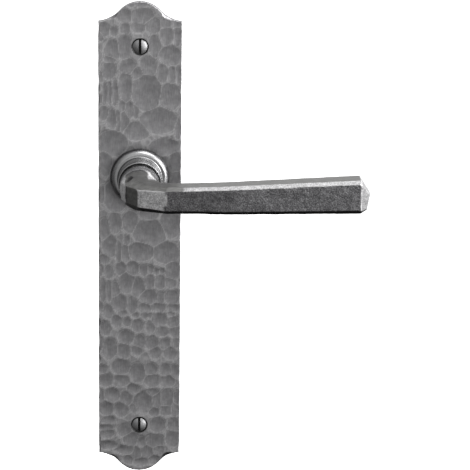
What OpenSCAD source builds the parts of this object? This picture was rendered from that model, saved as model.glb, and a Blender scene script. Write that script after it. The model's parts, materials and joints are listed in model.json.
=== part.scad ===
// Door lever handle on a long backplate, for an 8 mm spindle.
// The origin is the spindle's axis on the face of the door. +X runs along the lever,
// +Y into the door and +Z up. Sizes are in millimetres.

/* [Backplate] */
// Height of the backplate from tip to tip
plate_h = 248; // [200:1:300]
// Width of the backplate
plate_w = 42; // [38:0.5:60]
// Thickness of the backplate
plate_t = 4; // [3.5:0.1:6]
// Spindle axis to the upper tip of the backplate
axis_to_top = 90; // [60:1:110]
// Radius of the rounded tip at each end
cap_r = 13.5; // [11:0.5:15]
// Radius of the hollow between the tip and each corner
sweep_r = 17; // [14:0.5:20]
// Height of each tip above its corners
shoulder_h = 10; // [9:0.5:12]
// Depth of the round seat that the collar stands in
seat_depth = 0.6; // [0.3:0.1:1]
// Width of the open ring round the collar in that seat
seat_gap = 0.5; // [0.2:0.1:1]

/* [Fixing screws] */
// Upper tip of the backplate to the upper screw
upper_inset = 22.8; // [18:0.2:34]
// Lower tip of the backplate to the lower screw
lower_inset = 25.2; // [18:0.2:34]
// Radius of the screw head
screw_head_r = 3.7; // [3.5:0.1:4.5]
// Height of the domed head above its rim
screw_dome = 1.2; // [0.6:0.1:1.6]
// Radius of the plain shank in the door
screw_shank_r = 2.1; // [1.8:0.05:2.4]
// Length of the plain shank in the door
screw_shank_l = 10; // [6:1:16]
// Length of the screw behind the backplate
screw_l = 30; // [24:1:50]
// Distance between threads
screw_pitch = 2.2; // [1.5:0.1:3]
// Width of the driver slot
slot_w = 1.3; // [0.8:0.1:1.6]
// Depth of the driver slot
slot_d = 1.4; // [0.8:0.1:1.6]
// Width of the open ring round a screw head
countersink_rim = 0.5; // [0.2:0.1:0.8]

/* [Collar] */
// Height of the collar in front of the backplate
collar_h = 13.5; // [13:0.5:20]
// Wall of the collar's tube
collar_wall = 1.8; // [1.6:0.1:3]
// Depth of the lip that stands round the root of the hub
lip_h = 1; // [0.6:0.1:1.4]
// Height of the moulded ring at the foot of the collar
foot_h = 2.6; // [2.4:0.1:4]
// Width of the moulded ring outside the tube
foot_w = 3.4; // [3.2:0.1:5]
// Radius of the hollow between the moulded ring and the tube
foot_fillet = 0.8; // [0.4:0.1:1]
// Depth of the drive ring's space inside the collar's foot
foot_recess = 2.2; // [2:0.1:2.6]

/* [Lever] */
// Spindle axis to the tip of the lever
reach = 114; // [90:1:150]
// Face of the door to the front of the lever
projection = 56.5; // [50:0.5:66]
// Spindle axis to the bend in the grip
bend_x = 44.5; // [36:0.5:60]
// Height of the grip at its slimmest, behind the knee
slim_h = 13.2; // [10:0.1:16]
// Height of the grip at the bend
grip_h = 14.2; // [11:0.1:18]
// Height of the grip at the tip
tip_h = 17; // [12:0.1:20]
// Front-to-back depth of the grip at the bend
grip_d = 13; // [11:0.5:16]
// Front-to-back depth of the grip at the tip
tip_d = 14.4; // [12:0.1:17]
// Distance that the grip falls back from the knee to the tip
sweep_back = 8.3; // [0:0.1:12]

/* [Hub] */
// Thinnest wall of the hub, at the corners of the spindle's socket
hub_wall = 1.27; // [1:0.01:2.5]
// Width of the shoulder that the neck stands on
shoulder_w = 3; // [2.5:0.1:4]
// Length of the round root between the collar and the neck
root_l = 11; // [8:0.1:14]
// Radius of the tenon in the neck
tenon_r = 5; // [4:0.1:6]
// Length of the tenon
tenon_l = 8; // [6:0.5:9]
// Radius of the pin that locks the neck on the tenon
neck_pin_r = 1.5; // [1:0.1:2]
// Radius of the grub screw
grub_r = 2.5; // [2:0.1:2.8]
// Travel of the lever in degrees
lever_travel = 50; // [30:1:60]

/* [Spindle] */
// Width across the flats of the square spindle
spindle_w = 8; // [7:0.1:10]
// Length of the spindle
spindle_l = 100; // [80:1:140]

/* [Return spring] */
// Diameter of the spring wire
wire_d = 1.2; // [0.9:0.05:1.4]
// Number of turns
spring_turns = 3.75; // [2.75:1:3.75]
// Length of the bush in the collar's mouth
front_bush_l = 4.5; // [4:0.1:5.5]
// Thickness of the drive ring
drive_t = 3; // [2.4:0.1:3]
// Radius of each stop pin
stop_pin_r = 0.8; // [0.6:0.05:0.9]

/* [Rear cover] */
// Thickness of the rear cover
cover_t = 2; // [1.6:0.1:2.4]
// Radius of the cover screws
cover_screw_r = 1.25; // [1:0.05:1.5]
// Radius of the heads of the cover screws
cover_head_r = 2.3; // [2:0.1:2.6]
// Depth of the cover screws' holes in the collar
cover_hole_l = 1.9; // [1.4:0.1:2]
// Wall of the rear bush
rear_bush_wall = 0.95; // [0.8:0.05:1.2]
// Thickness of the rear bush's flange
flange_t = 0.8; // [0.6:0.1:1.2]

/* [Washers and clip] */
// Thickness of the fibre washer at the mouth of the collar
neck_washer_t = 0.4; // [0.3:0.05:1]
// Thickness of the plain thrust washer
thrust_washer_t = 0.5; // [0.4:0.05:1]
// Pressed height of the wave washer
wave_washer_t = 0.5; // [0.4:0.05:1]
// Thickness of the circlip
circlip_t = 1; // [0.8:0.05:1.2]

/* [Fits] */
// Gap between faces that turn on each other
run_gap = 0.05; // [0.03:0.01:0.08]
// Gap on each side of the spindle in its socket
spindle_gap = 0.05; // [0.03:0.01:0.1]
// Gap round pieces that drop into place
drop_gap = 0.1; // [0.05:0.01:0.2]
// Gap round the drive ring in its space
ring_gap = 0.4; // [0.3:0.05:0.5]

/* [Hidden] */
$fn = 64;
cut = 1; // how far a cutter runs past the face that it opens

// Radii, from the spindle outwards
socket_w = spindle_w + 2 * spindle_gap;
hub_r = socket_w / sqrt(2) + hub_wall;
root_r = hub_r + shoulder_w;
bush_bore_r = hub_r + run_gap;
coil_space = 2.2;
collar_bore_r = hub_r + coil_space;
coil_r = (hub_r + collar_bore_r) / 2;
tube_r = collar_bore_r + collar_wall;
lip_r = root_r + 0.5;
collar_r = tube_r + foot_w;
seat_r = collar_r + seat_gap;
drive_r = hub_r + 3;
cavity_r = drive_r + ring_gap;
plate_bore_r = cavity_r + 0.2;
stop_pitch_r = drive_r - stop_pin_r + 0.1;
cover_pitch_r = cavity_r + cover_screw_r + 0.55;
cover_r = cover_pitch_r + cover_head_r + 1;
rear_bush_r = bush_bore_r + rear_bush_wall;
flange_r = rear_bush_r + 1.5;
flat_half = hub_r - 0.7;
groove_r = hub_r - 0.6;
circlip_r = hub_r + 1.8;

// Distances out from the face of the door, from the back to the front
d_thrust = -flange_t - run_gap;
d_wave = d_thrust - thrust_washer_t;
d_clip = d_wave - wave_washer_t;
d_groove_back = d_clip - circlip_t - run_gap;
d_hub_back = d_groove_back - 1.2;
d_seat = plate_t - seat_depth;
d_drive = cover_t + 0.2;
d_drive_top = d_drive + drive_t;
d_recess_top = d_seat + foot_recess;
d_mouth = plate_t + collar_h;
d_bush_top = d_mouth - lip_h;
d_bush = d_bush_top - front_bush_l;
d_shoulder = d_bush_top + run_gap + neck_washer_t;
d_neck = d_shoulder + root_l;
d_socket = d_neck - 1;
d_spindle = d_socket - 0.4;
d_grub = d_spindle - grub_r + 0.5;
d_tenon = d_neck + tenon_l;
d_pin = d_neck + tenon_l / 2;

// Heights of the two ends and the two screws
z_top = axis_to_top;
z_bottom = axis_to_top - plate_h;
z_upper_screw = z_top - upper_inset;
z_lower_screw = z_bottom + lower_inset;
screw_neck_r = screw_shank_r - 0.3;
screw_hole_r = screw_shank_r + 0.15;
countersink_r = screw_head_r + countersink_rim;

// Return spring
coil_back = d_drive_top + 0.2 + wire_d / 2;
coil_front = d_bush - 0.2 - wire_d / 2;
coil_angle = 115;
leg_l = 2.4;
leg_gap = 0.15;

// x right, y up and z out of the door, turned to the model's axes
module face_frame() rotate([90, 0, 0]) children();

// Round disc between two distances from the door
module disc(r, from, to) translate([0, 0, from]) cylinder(r = r, h = to - from);

// Ring between two distances from the door
module ring(outer, inner, from, to) {
    difference() {
        disc(outer, from, to);
        disc(inner, from - cut, to + cut);
    }
}

// Children at a radius and an angle round the spindle's axis
module around(radius, angle) {
    rotate([0, 0, angle]) translate([radius, 0, 0]) children();
}

// Centre of the hollow arc: it passes the corner and meets the tip's arc on a tangent
function hollow_centre() =
    let (
        gap_x = plate_w / 2,
        gap_y = cap_r - shoulder_h,
        span = norm([gap_x, gap_y]),
        to_cap = cap_r + sweep_r,
        along = (to_cap * to_cap - sweep_r * sweep_r + span * span) / (2 * span),
        aside = sqrt(to_cap * to_cap - along * along)
    )
    [(gap_x * along - gap_y * aside) / span, (gap_y * along + gap_x * aside) / span - cap_r];

// One shaped end, with its tip at the origin and the plate below it
module plate_end() {
    centre = hollow_centre();
    meet = [0, -cap_r] + (centre + [0, cap_r]) * cap_r / (cap_r + sweep_r);
    difference() {
        union() {
            translate([0, -cap_r]) circle(r = cap_r);
            polygon([
                [-plate_w / 2, -2 * cap_r], [plate_w / 2, -2 * cap_r],
                [plate_w / 2, -shoulder_h], meet, [-meet[0], meet[1]],
                [-plate_w / 2, -shoulder_h]
            ]);
        }
        for (side = [-1, 1]) translate([side * centre[0], centre[1]]) circle(r = sweep_r);
    }
}

module plate_outline() {
    translate([0, z_top]) plate_end();
    translate([0, z_bottom]) mirror([0, 1]) plate_end();
    translate([-plate_w / 2, z_bottom + 1.5 * cap_r]) square([plate_w, plate_h - 3 * cap_r]);
}

module backplate() {
    color("slategray") face_frame() difference() {
        linear_extrude(plate_t) plate_outline();
        disc(cover_r + drop_gap, -cut, cover_t);
        disc(plate_bore_r, -cut, plate_t + cut);
        disc(seat_r, d_seat, plate_t + cut);
        for (i = [0:2]) around(cover_pitch_r, 90 + 120 * i) {
            disc(cover_screw_r + drop_gap, cover_t - cut, plate_t);
        }
        for (z = [z_upper_screw, z_lower_screw]) translate([0, z, 0]) {
            disc(screw_hole_r, -cut, plate_t + cut);
            translate([0, 0, plate_t - countersink_r])
                cylinder(r1 = 0, r2 = countersink_r + cut, h = countersink_r + cut);
        }
    }
}

// Outer side of the collar's foot: a quarter round from the plate, then a hollow to the tube
function foot_curve() =
    let (bead_w = foot_w - foot_fillet, bead_r = tube_r + foot_fillet)
    concat(
        [for (a = [0:7.5:90]) [bead_r + bead_w * cos(a), plate_t + foot_h * sin(a)]],
        [
            for (a = [15:15:90])
                [bead_r - foot_fillet * sin(a), plate_t + foot_h + foot_fillet * (1 - cos(a))]
        ]
    );

module collar() {
    profile = concat(
        [[cavity_r, d_seat], [collar_r, d_seat]],
        foot_curve(),
        [
            [tube_r, d_mouth - 0.2], [tube_r - 0.2, d_mouth],
            [lip_r, d_mouth], [lip_r, d_bush_top],
            [collar_bore_r, d_bush_top], [collar_bore_r, d_recess_top],
            [cavity_r, d_recess_top]
        ]
    );
    color("silver") face_frame() difference() {
        rotate_extrude() polygon(profile);
        for (i = [0:2]) around(cover_pitch_r, 90 + 120 * i) {
            disc(cover_screw_r, d_seat - cut, d_seat + cover_hole_l);
        }
    }
}

// The bush's slot takes the spring's front leg
module front_bush() {
    slot = wire_d + 2 * leg_gap;
    color("goldenrod") face_frame() difference() {
        ring(collar_bore_r, bush_bore_r, d_bush, d_bush_top);
        around(coil_r, coil_angle + 360 * spring_turns)
            translate([-coil_space, -slot / 2, d_bush - cut])
                cube([2 * coil_space, slot, cut + leg_l + 0.6]);
    }
}

module rear_cover() {
    color("gainsboro") face_frame() difference() {
        ring(cover_r, rear_bush_r, 0, cover_t);
        for (i = [0:2]) around(cover_pitch_r, 90 + 120 * i) {
            disc(cover_screw_r + drop_gap, -cut, cover_t + cut);
            translate([0, 0, -cut])
                cylinder(r1 = cover_head_r + drop_gap + cut, r2 = 0, h = cover_head_r + drop_gap + cut);
        }
        for (i = [0:1]) around(stop_pitch_r, 180 * i) disc(stop_pin_r, -cut, cover_t + cut);
    }
}

module rear_bush() {
    color("goldenrod") face_frame() difference() {
        union() {
            disc(rear_bush_r, 0, cover_t);
            disc(flange_r, -flange_t, 0);
        }
        disc(bush_bore_r, -flange_t - cut, cover_t + cut);
    }
}

// Countersunk head against the cover, shank through the plate into the collar
module cover_screw() {
    tip = d_seat + cover_hole_l - 0.2;
    difference() {
        union() {
            cylinder(r1 = cover_head_r, r2 = cover_screw_r, h = cover_head_r - cover_screw_r);
            disc(cover_screw_r, 0, tip);
        }
        translate([-cover_head_r, -0.3, -cut]) cube([2 * cover_head_r, 0.6, cut + 0.6]);
    }
}

module cover_screws() {
    color("lightgray") face_frame() {
        for (i = [0:2]) around(cover_pitch_r, 90 + 120 * i) cover_screw();
    }
}

module stop_pins() {
    color("silver") face_frame() {
        for (i = [0:1]) around(stop_pitch_r, 180 * i) disc(stop_pin_r, 0.3, d_drive_top - 0.2);
    }
}

// Middle line of the wire: a back leg, the turns and a front leg, all on one cylinder.
// Each entry is an angle and a distance from the door.
function wire_line() =
    let (steps = round(spring_turns * 24))
    concat(
        [[coil_angle, coil_back - leg_l], [coil_angle, coil_back - 0.5]],
        [
            for (i = [0:steps])
                [
                    coil_angle + 360 * spring_turns * i / steps,
                    coil_back + (coil_front - coil_back) * i / steps
                ]
        ],
        [
            [coil_angle + 360 * spring_turns, coil_front + 0.5],
            [coil_angle + 360 * spring_turns, coil_front + leg_l]
        ]
    );

function on_coil(entry) = [coil_r * cos(entry[0]), coil_r * sin(entry[0]), entry[1]];

// Ring of points round the wire; the radial direction is always square to the wire
function wire_ring(line, i, sides) =
    let (
        here = on_coil(line[i]),
        ahead = on_coil(line[min(i + 1, len(line) - 1)]),
        behind = on_coil(line[max(i - 1, 0)]),
        way = (ahead - behind) / norm(ahead - behind),
        radial = [cos(line[i][0]), sin(line[i][0]), 0],
        side = cross(way, radial)
    )
    [
        for (k = [0:sides - 1])
            here + wire_d / 2 * (cos(360 * k / sides) * radial + sin(360 * k / sides) * side)
    ];

// Triangles that join rings of points into a closed skin
function skin_faces(rings, sides) = concat(
    [[for (k = [0:sides - 1]) k]],
    [
        for (i = [0:rings - 2], k = [0:sides - 1])
            let (a = i * sides + k, b = i * sides + (k + 1) % sides)
            each [[a, a + sides, b], [b, a + sides, b + sides]]
    ],
    [[for (k = [sides - 1:-1:0]) (rings - 1) * sides + k]]
);

module return_spring() {
    line = wire_line();
    sides = 8;
    points = [for (i = [0:len(line) - 1]) each wire_ring(line, i, sides)];
    color("dimgray") face_frame() polyhedron(points, skin_faces(len(line), sides));
}

// Raised countersunk wood screw. Distances run out from the door; the slot is upright.
module fixing_screw(z) {
    rim = plate_t - countersink_rim;
    dome_r = (screw_head_r * screw_head_r + screw_dome * screw_dome) / (2 * screw_dome);
    core_r = screw_shank_r * 0.7;
    turns = floor((screw_l - screw_shank_l - 4) / screw_pitch);
    thread = [
        for (i = [0:turns - 1])
            let (y = -screw_shank_l - i * screw_pitch)
            each [[core_r, y - 0.1 * screw_pitch], [screw_shank_r, y - 0.5 * screw_pitch],
                [core_r, y - 0.8 * screw_pitch]]
    ];
    color("gray") face_frame() translate([0, z, 0]) difference() {
        union() {
            translate([0, 0, rim - (screw_head_r - screw_neck_r)])
                cylinder(r1 = screw_neck_r, r2 = screw_head_r, h = screw_head_r - screw_neck_r);
            intersection() {
                translate([0, 0, rim + screw_dome - dome_r]) sphere(r = dome_r);
                disc(screw_head_r, rim, rim + screw_dome + cut);
            }
            disc(screw_neck_r, 0, rim);
            disc(screw_shank_r, -screw_shank_l, 0);
            rotate_extrude() polygon(concat(
                [[0, -screw_shank_l + 0.5], [core_r, -screw_shank_l + 0.5]],
                thread,
                [[core_r, 4 - screw_l], [0, -screw_l]]
            ));
        }
        translate([-slot_w / 2, -screw_head_r - cut, rim + screw_dome - slot_d])
            cube([slot_w, 2 * (screw_head_r + cut), slot_d + cut]);
    }
}

module upper_fixing_screw() fixing_screw(z_upper_screw);

module lower_fixing_screw() fixing_screw(z_lower_screw);

// Sections of the lever, from the root to the tip. Each has its outer and inner edge as
// [x, distance from the door], its height, its bevel, the height of its lower front bevel,
// how round it is and how far its middle stands above the axis.
function arm_sections() =
    let (
        out = projection,
        knee_x = 12.6,
        end_x = reach - 5,
        rise = projection - d_neck,
        lift = 0.4
    )
    [
        [[-root_r, d_neck], [root_r, d_neck], 2 * root_r, 2.5, 2.5, 1, 0],
        [
            [0.2 - root_r, d_neck + 0.18 * rise], [root_r - 0.4, d_neck + 0.18 * rise],
            18.6, 2.6, 2.6, 0.85, 0
        ],
        [
            [-7, d_neck + 0.51 * rise], [root_r - 0.2, d_neck + 0.35 * rise],
            15.6, 2.8, 3.4, 0.35, 0
        ],
        [[-1, out - 6.7], [11.5, out - 15], slim_h + 0.3, 2.7, 2.6, 0, 0.1],
        [[knee_x, out], [knee_x + 3.4, out - 12.7], slim_h, 2, 1.8, 0, lift],
        [[25, out - 0.3], [25, out - 12.9], slim_h + 0.1, 1.7, 1.7, 0, lift],
        [[bend_x, out - 0.8], [bend_x, out - 0.8 - grip_d], grip_h, 1.7, 1.7, 0, lift],
        [[end_x, out - sweep_back], [end_x, out - sweep_back - tip_d], tip_h, 1.8, 2.1, 0, lift],
        [[reach, out - sweep_back - 5.4], [reach, out - sweep_back - 9.6], 9, 0.9, 1, 0, -2.8]
    ];

// Points round one section: eight corners and the middle of each side, eased to a circle.
// A section below the axis leans back towards its foot.
function arm_ring(section) =
    let (
        outer = section[0],
        inner = section[1],
        half_h = section[2] / 2,
        bevel = section[3],
        under = section[4],
        round_by = section[5],
        lift = section[6],
        lean = lift < 0 ? 0.2 : 0,
        half_d = norm(outer - inner) / 2,
        middle = (outer + inner) / 2,
        way = (outer - inner) / (2 * half_d),
        corners = [
            [half_d, under - half_h],
            [half_d, half_h - 0.85 * bevel],
            [half_d - 1.8 * bevel, half_h],
            [0.5 * bevel - half_d, half_h],
            [-half_d, half_h - 0.6 * bevel],
            [-half_d, bevel - half_h],
            [bevel - half_d, -half_h],
            [half_d - 1.3 * under, -half_h]
        ]
    )
    [
        for (k = [0:15])
            let (
                a = floor(k / 2),
                b = ceil(k / 2) % 8,
                flat_point = (corners[a] + corners[b]) / 2,
                angle = 22.5 * (k - 1),
                round_point = [half_d * cos(angle), half_h * sin(angle)],
                p = flat_point * (1 - round_by) + round_point * round_by,
                place = middle + way * p[0]
            )
            [place[0] - lean * (half_h - p[1]), p[1] + lift, place[1]]
    ];

module lever_arm() {
    sections = arm_sections();
    sides = 16;
    points = [for (s = sections) each arm_ring(s)];
    color("darkgray") face_frame() difference() {
        polyhedron(points, skin_faces(len(sections), sides));
        disc(tenon_r, d_neck - cut, d_tenon + 0.3);
        translate([0, -root_r - cut, d_pin]) rotate([-90, 0, 0])
            cylinder(r = neck_pin_r, h = root_r + cut + tenon_r + 1);
    }
}

module hub() {
    color("silver") face_frame() difference() {
        union() {
            disc(hub_r, d_hub_back, d_shoulder + cut);
            disc(root_r, d_shoulder, d_neck);
            disc(tenon_r, d_neck - cut, d_tenon);
        }
        translate([-socket_w / 2, -socket_w / 2, d_hub_back - cut])
            cube([socket_w, socket_w, d_socket - d_hub_back + cut]);
        // flats that carry the drive ring
        for (side = [0, 180]) rotate([0, 0, side])
            translate([-hub_r - cut, flat_half, d_hub_back - cut])
                cube([2 * (hub_r + cut), hub_r, d_drive_top + run_gap - d_hub_back + cut]);
        ring(hub_r + cut, groove_r, d_groove_back, d_clip + run_gap);
        translate([0, 0, d_grub]) rotate([90, 0, 0]) cylinder(r = grub_r, h = root_r + cut);
        translate([0, -root_r, d_pin]) rotate([-90, 0, 0])
            cylinder(r = neck_pin_r, h = 2 * root_r);
    }
}

// The pin enters from below and stops inside the neck
module neck_pin() {
    color("silver") face_frame() translate([0, tenon_r + 0.8, d_pin]) rotate([90, 0, 0])
        cylinder(r = neck_pin_r, h = tenon_r + 0.8 + 8);
}

// Two notches in the rim let the ring turn between the stop pins
module drive_ring() {
    half_pin = asin((stop_pin_r + run_gap) / stop_pitch_r);
    notch_r = stop_pitch_r - stop_pin_r - 0.15;
    color("lightsteelblue") face_frame() difference() {
        disc(drive_r, d_drive, d_drive_top);
        intersection() {
            disc(hub_r + run_gap, d_drive - cut, d_drive_top + cut);
            translate([-drive_r, -flat_half - run_gap, d_drive - 2 * cut])
                cube([2 * drive_r, 2 * (flat_half + run_gap), drive_t + 4 * cut]);
        }
        for (i = [0:1]) rotate([0, 0, 180 * i - half_pin - 0.3]) difference() {
            translate([0, 0, d_drive - cut])
                rotate_extrude(angle = lever_travel + 2 * half_pin + 0.6)
                    translate([notch_r, 0]) square([drive_r, drive_t + 2 * cut]);
        }
        around(coil_r, coil_angle) disc((wire_d + leg_gap) / 2, d_drive - cut, d_drive_top + cut);
    }
}

module neck_washer() {
    color("black") face_frame() ring(root_r - 0.1, bush_bore_r, d_bush_top + run_gap, d_shoulder);
}

module thrust_washer() {
    color("silver") face_frame() ring(hub_r + 1.6, hub_r + drop_gap, d_wave, d_thrust);
}

module wave_washer() {
    color("gray") face_frame() ring(hub_r + 1.4, hub_r + drop_gap, d_clip, d_wave);
}

// Open ring with two eyes for the pliers
module circlip() {
    eye_r = 1.3;
    color("dimgray") face_frame() difference() {
        union() {
            ring(circlip_r, groove_r + run_gap, d_clip - circlip_t, d_clip);
            for (side = [-1, 1]) around(circlip_r + 0.4, 270 + 16 * side)
                disc(eye_r, d_clip - circlip_t, d_clip);
        }
        translate([-1, -circlip_r - 3, d_clip - circlip_t - cut]) cube([2, 6, circlip_t + 2 * cut]);
        for (side = [-1, 1]) around(circlip_r + 0.6, 270 + 16 * side)
            disc(0.6, d_clip - circlip_t - cut, d_clip + cut);
    }
}

// Grub screw with a hexagon socket, from below against the flat of the spindle
module grub_screw() {
    length = root_r - spindle_w / 2 - 0.6;
    color("dimgray") face_frame() translate([0, -spindle_w / 2, d_grub]) rotate([90, 0, 0])
        difference() {
            union() {
                cylinder(r1 = grub_r - 1, r2 = grub_r, h = 1);
                translate([0, 0, 1]) cylinder(r = grub_r, h = length - 1);
            }
            translate([0, 0, length - 2]) cylinder(r = 1.44, h = 2 + cut, $fn = 6);
        }
}

module spindle() {
    color("lightsteelblue") face_frame()
        translate([-spindle_w / 2, -spindle_w / 2, d_spindle - spindle_l])
            cube([spindle_w, spindle_w, spindle_l]);
}

backplate();
collar();
front_bush();
rear_cover();
rear_bush();
cover_screws();
stop_pins();
return_spring();
upper_fixing_screw();
lower_fixing_screw();
lever_arm();
hub();
neck_pin();
drive_ring();
neck_washer();
thrust_washer();
wave_washer();
circlip();
grub_screw();
spindle();
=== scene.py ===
"""Door lever handle on a long hammered backplate: the looks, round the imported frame.

Everything is in metres in the frame's axes: +X along the lever, +Y into the door, +Z up.
The spindle's axis runs along Y through the origin, and the front faces -Y.
"""
import json
import math

import bmesh
import bpy
import numpy as np
from mathutils import Matrix, Vector


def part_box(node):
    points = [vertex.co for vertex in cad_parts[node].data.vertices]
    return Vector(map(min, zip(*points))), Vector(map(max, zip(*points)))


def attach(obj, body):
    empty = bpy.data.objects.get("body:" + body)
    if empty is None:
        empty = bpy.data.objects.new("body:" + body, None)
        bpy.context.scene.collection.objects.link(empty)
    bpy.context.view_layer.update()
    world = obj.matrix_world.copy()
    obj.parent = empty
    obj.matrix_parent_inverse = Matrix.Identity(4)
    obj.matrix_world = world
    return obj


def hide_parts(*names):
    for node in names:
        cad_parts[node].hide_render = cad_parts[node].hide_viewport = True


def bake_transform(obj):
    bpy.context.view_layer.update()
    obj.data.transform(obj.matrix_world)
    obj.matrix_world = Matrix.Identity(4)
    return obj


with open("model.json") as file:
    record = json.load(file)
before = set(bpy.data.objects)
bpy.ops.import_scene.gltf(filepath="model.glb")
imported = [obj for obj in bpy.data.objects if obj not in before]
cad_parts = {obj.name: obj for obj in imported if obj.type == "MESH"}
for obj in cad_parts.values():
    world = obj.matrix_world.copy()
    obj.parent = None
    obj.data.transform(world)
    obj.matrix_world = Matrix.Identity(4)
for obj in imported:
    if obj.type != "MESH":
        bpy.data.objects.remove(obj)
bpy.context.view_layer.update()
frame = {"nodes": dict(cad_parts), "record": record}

MM = 0.001
scene = bpy.context.scene


# ---------------------------------------------------------------- measures from the frame

def node_size(node):
    low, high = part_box(node)
    return high - low


PLATE_LOW, PLATE_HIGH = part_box("backplate")
PLATE_FACE = PLATE_LOW.y
PLATE_HALF_W = PLATE_HIGH.x
COLLAR_LOW, COLLAR_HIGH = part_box("collar")
COLLAR_R = COLLAR_HIGH.x
COLLAR_MOUTH = COLLAR_LOW.y
ARM_LOW, ARM_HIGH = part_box("lever_arm")
SCREWS = ("upper_fixing_screw", "lower_fixing_screw")
SLOTS = {part["node"]: part["material_slot"] for part in frame["record"]["subparts"]}


def screw_height(node):
    low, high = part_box(node)
    return (low.z + high.z) / 2


# ---------------------------------------------------------------- noise and mesh helpers

def value_noise(points, cell, seed):
    """Smooth noise from -1 to 1 at each point, with one random value at each corner of a cell."""
    q = points / cell
    base = np.floor(q).astype(np.int64)
    part = q - base
    part = part * part * (3 - 2 * part)
    total = np.zeros(len(points))
    for dx in (0, 1):
        for dy in (0, 1):
            for dz in (0, 1):
                corner = base + (dx, dy, dz)
                key = corner[:, 0] * 73856093 ^ corner[:, 1] * 19349663 ^ corner[:, 2] * 83492791
                key = (key ^ (seed * 2654435761)) & 0x7FFFFFFF
                key = (key * 1103515245 + 12345) & 0x7FFFFFFF
                value = ((key >> 8) & 0xFFFF) / 32767.5 - 1
                weight = (
                    (part[:, 0] if dx else 1 - part[:, 0])
                    * (part[:, 1] if dy else 1 - part[:, 1])
                    * (part[:, 2] if dz else 1 - part[:, 2])
                )
                total += value * weight
    return total


def fractal(points, cell, seed, octaves=3):
    total = np.zeros(len(points))
    for i in range(octaves):
        total += value_noise(points, cell / 2**i, seed + i) / 2**i
    return total / (2 - 2 ** (1 - octaves))


def smooth_step(x, low, high):
    t = np.clip((x - low) / (high - low), 0, 1)
    return t * t * (3 - 2 * t)


def coordinates(mesh):
    co = np.empty(len(mesh.vertices) * 3)
    mesh.vertices.foreach_get("co", co)
    return co.reshape(-1, 3)


def normals(mesh):
    no = np.empty(len(mesh.vertices) * 3)
    mesh.vertices.foreach_get("normal", no)
    return no.reshape(-1, 3)


def set_coordinates(mesh, co):
    mesh.vertices.foreach_set("co", co.astype(np.float32).ravel())
    mesh.update()


def set_attribute(mesh, name, values):
    attribute = mesh.attributes.new(name, "FLOAT", "POINT")
    attribute.data.foreach_set("value", values.astype(np.float32))


def new_object(name, mesh, material, smooth=True):
    obj = bpy.data.objects.new(name, mesh)
    scene.collection.objects.link(obj)
    mesh.materials.clear()
    mesh.materials.append(material)
    if smooth:
        mesh.shade_smooth()
    return obj


def mesh_from(name, points, faces):
    mesh = bpy.data.meshes.new(name)
    mesh.from_pydata(points, [], faces)
    mesh.update()
    return mesh


def applied(obj):
    """The object's mesh with its modifiers applied, and the object itself removed."""
    bpy.context.view_layer.update()
    graph = bpy.context.evaluated_depsgraph_get()
    mesh = bpy.data.meshes.new_from_object(obj.evaluated_get(graph))
    bpy.data.objects.remove(obj)
    return mesh


def remeshed(node, voxel):
    """A fine, even copy of a CAD node's mesh."""
    mesh = frame["nodes"][node].data.copy()
    work = bpy.data.objects.new("work", mesh)
    scene.collection.objects.link(work)
    weld = bmesh.new()
    weld.from_mesh(mesh)
    bmesh.ops.remove_doubles(weld, verts=weld.verts, dist=1e-6)
    weld.to_mesh(mesh)
    weld.free()
    remesh = work.modifiers.new("remesh", "REMESH")
    remesh.mode = "VOXEL"
    remesh.voxel_size = voxel
    return applied(work)


def lathe(name, profile, segments, material):
    """Turns a closed profile of (radius, y) round the Y axis. Points run with the solid on the left."""
    points = []
    for r, y in profile:
        for k in range(segments):
            a = 2 * math.pi * k / segments
            points.append((r * math.cos(a), y, r * math.sin(a)))
    faces = []
    n = len(profile)
    for i in range(n):
        j = (i + 1) % n
        for k in range(segments):
            l = (k + 1) % segments
            faces.append((i * segments + k, i * segments + l, j * segments + l, j * segments + k))
    mesh = mesh_from(name, points, faces)
    tidy = bmesh.new()
    tidy.from_mesh(mesh)
    bmesh.ops.remove_doubles(tidy, verts=tidy.verts, dist=1e-7)
    bmesh.ops.recalc_face_normals(tidy, faces=tidy.faces)
    tidy.to_mesh(mesh)
    tidy.free()
    obj = new_object(name, mesh, material)
    mark_sharp(mesh, 40)
    return obj


def mark_sharp(mesh, degrees):
    mesh.set_sharp_from_angle(angle=math.radians(degrees))


def arc(centre, radius, start, end, steps):
    """Points of an arc in a lathe profile, angles in degrees from +r towards +y."""
    return [
        (
            centre[0] + radius * math.cos(math.radians(start + (end - start) * i / steps)),
            centre[1] + radius * math.sin(math.radians(start + (end - start) * i / steps)),
        )
        for i in range(steps + 1)
    ]


def face_outwards(mesh):
    turned = bmesh.new()
    turned.from_mesh(mesh)
    bmesh.ops.recalc_face_normals(turned, faces=turned.faces)
    turned.to_mesh(mesh)
    turned.free()


def stand_in(obj, body, slot, *nodes):
    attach(obj, body)
    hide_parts(*nodes)
    return obj


# ---------------------------------------------------------------- materials

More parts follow.
